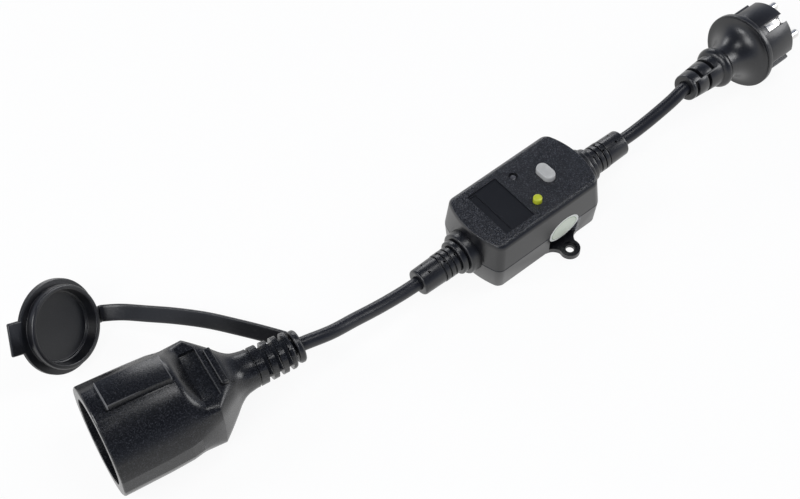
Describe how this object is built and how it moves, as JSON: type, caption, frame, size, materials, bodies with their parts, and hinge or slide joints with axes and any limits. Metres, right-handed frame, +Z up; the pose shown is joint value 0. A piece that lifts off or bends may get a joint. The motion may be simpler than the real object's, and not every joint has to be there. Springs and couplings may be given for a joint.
{
  "type": "in-line rcd adapter lead",
  "caption": "Short mains lead with an earthed plug, an in-line residual-current switch box with reset and test buttons, and a coupling closed by a strapped sealing cap",
  "frame": {"origin": "centre of the switch box's underside, on the face it rests on", "axes": "+X along the box towards the plug, +Y away from the screw lug, +Z up through the buttons"},
  "size_m": [0.4543, 0.1383, 0.0578],
  "materials": {
    "shell_plastic": "fine-grained black plastic",
    "rubber": "satin black rubber",
    "pale_plastic": "off-white plastic",
    "yellow_plastic": "yellow plastic",
    "lens": "smoky clear plastic",
    "plated": "nickel-plated brass",
    "steel": "zinc-plated steel",
    "brass": "bare brass",
    "copper": "copper and enamelled wire",
    "inner_plastic": "moulded inner plastic",
    "board": "green circuit board",
    "ferrite": "wrapped ring core"
  },
  "bodies": {
    "lead": {"upper_shell": "shell_plastic", "lower_shell": "shell_plastic", "shell_seal": "rubber", "shell_screws": "steel", "fixed_contacts": "brass", "reset_spring": "steel", "test_switch": "inner_plastic", "test_spring": "steel", "indicator_lens": "lens", "circuit_board": "board", "current_transformer": "ferrite", "trip_coil": "copper", "coil_yoke": "steel", "supply_terminals": "inner_plastic", "load_terminals": "inner_plastic", "supply_cores": "copper", "load_cores": "copper", "surge_varistor": "inner_plastic", "filter_capacitor": "inner_plastic", "supply_gland": "rubber", "load_gland": "rubber", "supply_cord": "rubber", "load_cord": "rubber", "plug_body": "rubber", "plug_face": "shell_plastic", "plug_pins": "plated", "plug_earth_strips": "plated", "coupling_body": "rubber", "contact_carrier": "shell_plastic", "pin_sleeves": "brass", "earth_clips": "plated"},
    "reset": {"reset_button": "pale_plastic", "contact_bar": "inner_plastic", "moving_contacts": "brass"},
    "test": {"test_button": "yellow_plastic"},
    "plunger": {"trip_plunger": "steel"},
    "eyelet": {"strap_eyelet": "rubber"},
    "strap": {"cap_strap": "rubber"},
    "cap": {"sealing_cap": "rubber"}
  },
  "joints": [
    {"name": "reset_press", "type": "slide", "parent": "lead", "child": "reset", "axis": [0, 0, -1], "range_m": [0, 0.002], "stiffness_N_per_m": 800, "deforming": ["reset_spring"]},
    {"name": "test_press", "type": "slide", "parent": "lead", "child": "test", "axis": [0, 0, -1], "range_m": [0, 0.0012], "stiffness_N_per_m": 1000, "deforming": ["test_spring"]},
    {"name": "trip_stroke", "type": "slide", "parent": "lead", "child": "plunger", "axis": [-1, 0, 0], "range_m": [0, 0.0025], "stiffness_N_per_m": 200},
    {"name": "strap_turn", "type": "hinge", "parent": "lead", "child": "eyelet", "pos_m": [-0.14327, 0.00311, 0.0278], "axis": [0.9848, -0.1736, 0], "range_deg": [0, 110]},
    {"name": "strap_swing", "type": "hinge", "parent": "eyelet", "child": "strap", "pos_m": [-0.14208, 0.00983, 0.02098], "axis": [0, 0, 1], "range_deg": [-30, 4], "deforming": ["cap_strap"]},
    {"name": "cap_fold", "type": "hinge", "parent": "strap", "child": "cap", "pos_m": [-0.20033, 0.09186, 0.00836], "axis": [0.3633, 0.6171, 0.698], "range_deg": [-8, 35], "deforming": ["cap_strap"]}
  ]
}
